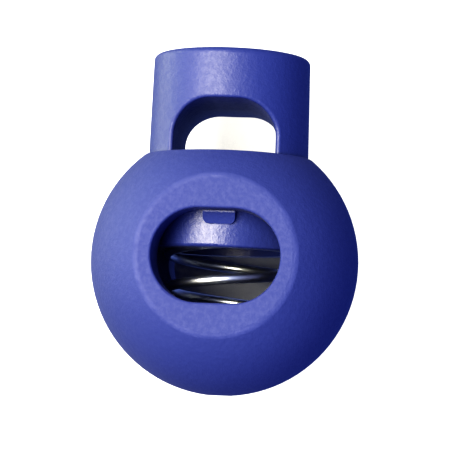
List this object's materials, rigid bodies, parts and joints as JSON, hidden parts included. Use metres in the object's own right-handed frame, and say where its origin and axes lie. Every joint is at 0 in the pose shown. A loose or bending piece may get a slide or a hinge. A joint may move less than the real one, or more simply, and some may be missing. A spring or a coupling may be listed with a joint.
{
  "type": "cord lock",
  "caption": "Ball cord lock: a faceted plastic ball with an oblong cord window, and a sprung button plunger that pinches the cord.",
  "frame": {"origin": "centre of the cord window on the back facet, which the lock rests on", "axes": "+Z along the cord window, from the back facet to the front one; -Y along the plunger, out through the button; +X to the right for someone who faces the button with the back facet down"},
  "size_m": [0.018, 0.0228, 0.0147],
  "materials": {
    "ball_plastic": "moulded royal blue, fine spark-eroded grain, satin",
    "plunger_plastic": "moulded royal blue, fine grain, satin, a little smoother on the skirt",
    "spring_wire": "drawn steel spring wire, bright and lightly oiled"
  },
  "bodies": {
    "body": {"ball_body": "ball_plastic", "spring": "spring_wire"},
    "button": {"plunger": "plunger_plastic"}
  },
  "joints": [
    {"name": "plunger_slide", "type": "slide", "parent": "body", "child": "button", "axis": [0, 1, 0], "range_m": [0, 0.00515], "stiffness_N_per_m": 1400, "springref_m": -0.003, "deforming": ["spring"]}
  ]
}
